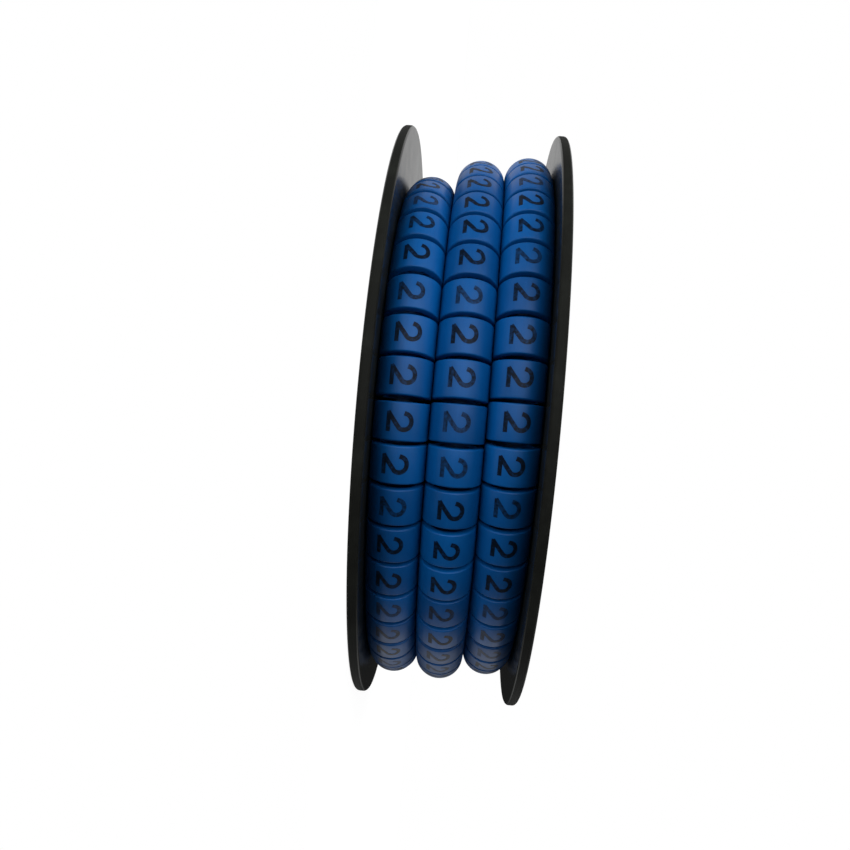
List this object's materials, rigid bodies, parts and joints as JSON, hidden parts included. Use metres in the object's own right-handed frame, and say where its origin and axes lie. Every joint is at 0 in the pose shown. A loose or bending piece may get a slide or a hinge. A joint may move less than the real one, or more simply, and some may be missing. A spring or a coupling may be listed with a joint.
{
  "type": "reel of cable markers",
  "caption": "Black plastic reel wound with a strip of blue tear-off tube markers, each printed with a figure, that slide over wires to label them.",
  "frame": {"origin": "on the reel's axis, at the outer face of the lower flange, on which the reel lies", "axes": "+Z along the reel's axis, up from the lower flange; -Y is the side that the picture shows, with its right at +Z and its bottom at +X"},
  "size_m": [0.09, 0.09, 0.0243],
  "materials": {
    "reel_plastic": "moulded gloss",
    "marker_pvc": "extruded satin"
  },
  "bodies": {
    "root": {"reel_lower_half": "reel_plastic", "reel_upper_half": "reel_plastic", "marker_strip": "marker_pvc"}
  },
  "joints": []
}
